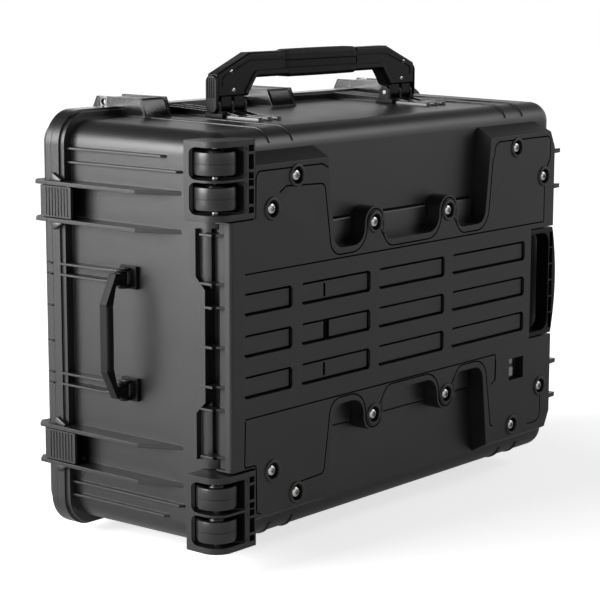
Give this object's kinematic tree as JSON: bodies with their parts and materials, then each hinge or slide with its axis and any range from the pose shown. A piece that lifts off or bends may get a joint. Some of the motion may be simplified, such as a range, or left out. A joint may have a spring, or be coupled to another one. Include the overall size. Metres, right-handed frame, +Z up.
{
  "type": "wheeled hard case",
  "caption": "Rolling hard case with foam laptop slots, hinged lid, draw latches, fold-down handles, corner wheels and a pull-out trolley handle.",
  "frame": {"origin": "on the resting face of the middle foot, at the body's middle along its length and mid-depth of the closed case", "axes": "+X along the length towards the trolley handle, -Y out of the base's floor with its cover, +Y out of the lid, +Z up with the case standing on its hinge side"},
  "size_m": [0.8066, 0.3375, 0.6265],
  "materials": {
    "shell": "fine moulded texture, black",
    "cover": "fine moulded texture, black",
    "handle": "satin moulded, black",
    "grip": "soft over-moulded grip, black",
    "latch": "satin moulded, black",
    "seal": "smooth rubber",
    "foam": "open-cell foam, charcoal",
    "foot": "moulded rubber",
    "wheel": "moulded wheel, satin",
    "pin_steel": "drawn steel",
    "tube": "anodised"
  },
  "bodies": {
    "base": {"base_shell": "shell", "bottom_cover": "cover", "cover_clip": "latch", "hinge_pins": "pin_steel", "latch_pins": "pin_steel", "front_handle_pins": "pin_steel", "front_bracket_left": "handle", "front_bracket_right": "handle", "side_handle_pins": "pin_steel", "side_bracket_upper": "handle", "side_bracket_lower": "handle", "trolley_outer_tubes": "tube", "trolley_guides": "latch", "foam_floor_pad": "foam", "foam_side_pads": "foam", "foam_dividers": "foam", "feet": "foot", "wheel_housing_upper": "cover", "wheel_axle_upper": "pin_steel", "wheel_housing_lower": "cover", "wheel_axle_lower": "pin_steel"},
    "lid": {"lid_shell": "shell", "lid_seal": "seal", "lid_foam": "foam", "padlock_inserts": "pin_steel"},
    "front_handle": {"front_handle_frame": "handle", "front_handle_grip": "grip"},
    "side_handle": {"side_handle": "handle"},
    "trolley": {"trolley_grip": "handle", "trolley_inner_tubes": "tube"},
    "latch_front_left": {"latch_front_left": "latch"},
    "latch_front_middle": {"latch_front_middle": "latch"},
    "latch_front_right": {"latch_front_right": "latch"},
    "latch_left_upper": {"latch_left_upper": "latch"},
    "latch_left_lower": {"latch_left_lower": "latch"},
    "latch_right_upper": {"latch_right_upper": "latch"},
    "latch_right_lower": {"latch_right_lower": "latch"},
    "wheel_upper_a": {"wheel_upper_a": "wheel"},
    "wheel_upper_b": {"wheel_upper_b": "wheel"},
    "wheel_lower_a": {"wheel_lower_a": "wheel"},
    "wheel_lower_b": {"wheel_lower_b": "wheel"}
  },
  "joints": [
    {"name": "lid_open", "type": "hinge", "parent": "base", "child": "lid", "pos_m": [0, 0.1255, 0.007], "axis": [-1, 0, 0], "range_deg": [0, 105]},
    {"name": "latch_front_left_turn", "type": "hinge", "parent": "base", "child": "latch_front_left", "pos_m": [-0.2495, 0.0945, 0.5585], "axis": [1, 0, 0], "range_deg": [0, 100]},
    {"name": "latch_front_middle_turn", "type": "hinge", "parent": "base", "child": "latch_front_middle", "pos_m": [0, 0.0945, 0.5585], "axis": [1, 0, 0], "range_deg": [0, 100]},
    {"name": "latch_front_right_turn", "type": "hinge", "parent": "base", "child": "latch_front_right", "pos_m": [0.2495, 0.0945, 0.5585], "axis": [1, 0, 0], "range_deg": [0, 100]},
    {"name": "latch_left_upper_turn", "type": "hinge", "parent": "base", "child": "latch_left_upper", "pos_m": [-0.382, 0.0945, 0.442], "axis": [0, 0, 1], "range_deg": [0, 100]},
    {"name": "latch_left_lower_turn", "type": "hinge", "parent": "base", "child": "latch_left_lower", "pos_m": [-0.382, 0.0945, 0.126], "axis": [0, 0, 1], "range_deg": [0, 100]},
    {"name": "latch_right_upper_turn", "type": "hinge", "parent": "base", "child": "latch_right_upper", "pos_m": [0.382, 0.0945, 0.442], "axis": [0, 0, -1], "range_deg": [0, 100]},
    {"name": "latch_right_lower_turn", "type": "hinge", "parent": "base", "child": "latch_right_lower", "pos_m": [0.382, 0.0945, 0.126], "axis": [0, 0, -1], "range_deg": [0, 100]},
    {"name": "front_handle_fold", "type": "hinge", "parent": "base", "child": "front_handle", "pos_m": [0, 0.0075, 0.558], "axis": [1, 0, 0], "range_deg": [0, 80]},
    {"name": "side_handle_fold", "type": "hinge", "parent": "base", "child": "side_handle", "pos_m": [-0.3809, 0.0015, 0.284], "axis": [0, 0, 1], "range_deg": [0, 90]},
    {"name": "trolley_slide", "type": "slide", "parent": "base", "child": "trolley", "axis": [1, 0, 0], "range_m": [0, 0.42]},
    {"name": "wheel_upper_a_roll", "type": "hinge", "parent": "base", "child": "wheel_upper_a", "pos_m": [-0.3705, -0.145, 0.46575], "axis": [0, 0, 1], "continuous": true},
    {"name": "wheel_upper_b_roll", "type": "hinge", "parent": "base", "child": "wheel_upper_b", "pos_m": [-0.3705, -0.145, 0.50725], "axis": [0, 0, 1], "continuous": true},
    {"name": "wheel_lower_a_roll", "type": "hinge", "parent": "base", "child": "wheel_lower_a", "pos_m": [-0.3705, -0.145, 0.06075], "axis": [0, 0, 1], "continuous": true},
    {"name": "wheel_lower_b_roll", "type": "hinge", "parent": "base", "child": "wheel_lower_b", "pos_m": [-0.3705, -0.145, 0.10225], "axis": [0, 0, 1], "continuous": true}
  ]
}
